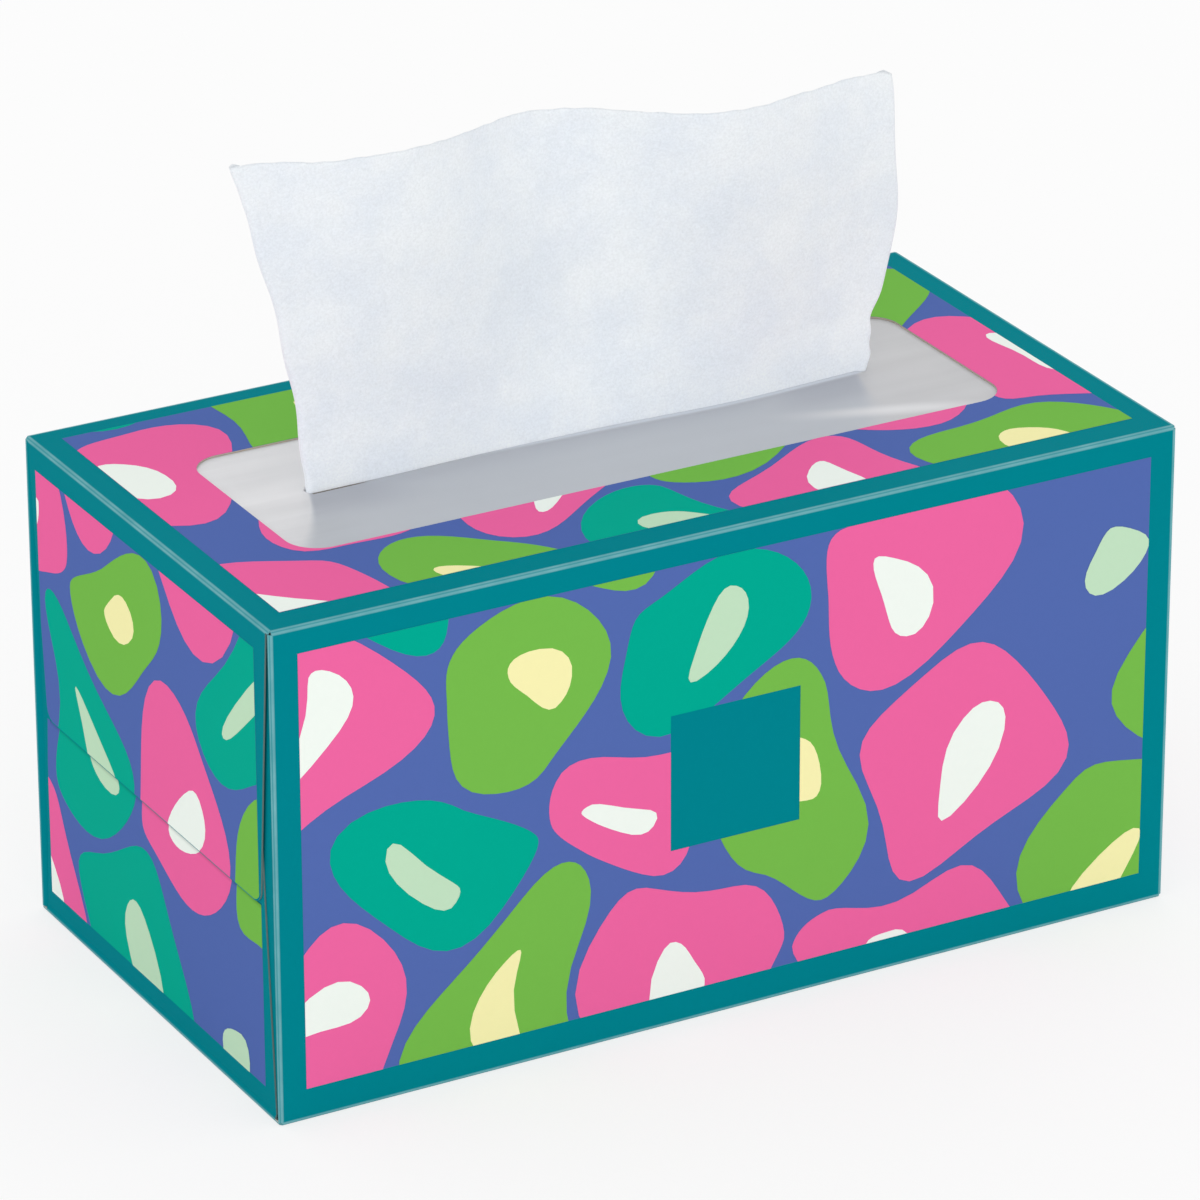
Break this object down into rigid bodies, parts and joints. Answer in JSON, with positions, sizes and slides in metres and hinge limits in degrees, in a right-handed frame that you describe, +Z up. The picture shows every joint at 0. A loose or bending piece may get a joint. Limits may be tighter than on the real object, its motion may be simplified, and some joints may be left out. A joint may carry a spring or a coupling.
{
  "type": "tissue box",
  "caption": "Rectangular folding carton with a filmed top window, holding a stack of interfolded tissues with one sheet drawn up through the slit.",
  "frame": {"origin": "middle of the base, on the surface that the box stands on", "axes": "+X along the length of the box, -Y out of the front panel with the plain square, +Z up"},
  "size_m": [0.2306, 0.1232, 0.1994],
  "materials": {
    "carton_board": "teal printed and coated board, satin",
    "window_film": "thin frosted film",
    "glue": "dried carton glue",
    "tissue_paper": "soft two-ply tissue, stacked",
    "raised_tissue_paper": "soft two-ply tissue",
    "blue_ink": "satin print",
    "pink_ink": "satin print",
    "green_ink": "satin print",
    "jade_ink": "satin print",
    "white_ink": "satin print",
    "cream_ink": "satin print",
    "mint_ink": "satin print"
  },
  "bodies": {
    "root": {"carton": "carton_board", "window_film": "window_film", "film_glue": "glue", "seam_glue": "glue", "flap_glue": "glue", "tissue_stack": "tissue_paper", "raised_tissue": "raised_tissue_paper", "print_blue": "blue_ink", "print_pink": "pink_ink", "print_green": "green_ink", "print_jade": "jade_ink", "print_white": "white_ink", "print_cream": "cream_ink", "print_mint": "mint_ink"}
  },
  "joints": []
}
